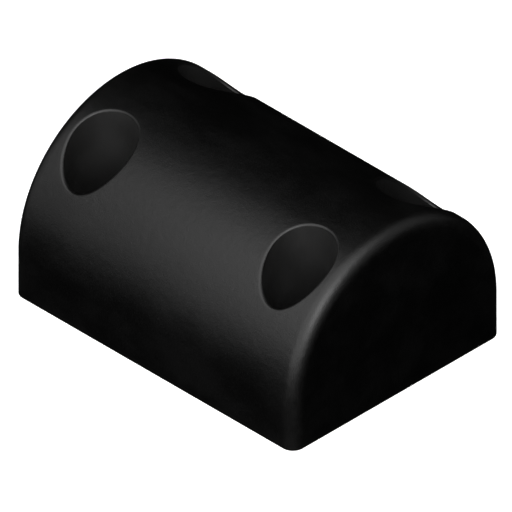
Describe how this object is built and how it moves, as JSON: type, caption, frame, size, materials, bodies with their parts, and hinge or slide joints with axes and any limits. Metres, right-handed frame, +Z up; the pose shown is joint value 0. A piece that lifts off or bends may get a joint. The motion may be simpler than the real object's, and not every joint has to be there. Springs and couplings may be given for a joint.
{
  "type": "rubber speed bump block",
  "caption": "Moulded rubber speed bump block with a half-round crown, flat D-shaped ends, a flat base and counterbored bolt holes.",
  "frame": {"origin": "centre of the flat base, on the road surface", "axes": "+X along the block, which is its longest side, +Y across it, +Z up from the road"},
  "size_m": [0.198, 0.148, 0.1005],
  "materials": {
    "moulded_rubber": "satin moulded black rubber",
    "insert_steel": "dull rolled steel, bonded into rubber",
    "zinc_washer": "zinc-plated, turned by tightening"
  },
  "bodies": {
    "root": {"rubber_body": "moulded_rubber", "reinforcement_plate": "insert_steel", "spacer_tube_left_front": "insert_steel", "spacer_tube_right_front": "insert_steel", "spacer_tube_right_rear": "insert_steel", "spacer_tube_left_rear": "insert_steel", "seat_washer_left_front": "zinc_washer", "seat_washer_right_front": "zinc_washer", "seat_washer_right_rear": "zinc_washer", "seat_washer_left_rear": "zinc_washer"}
  },
  "joints": []
}
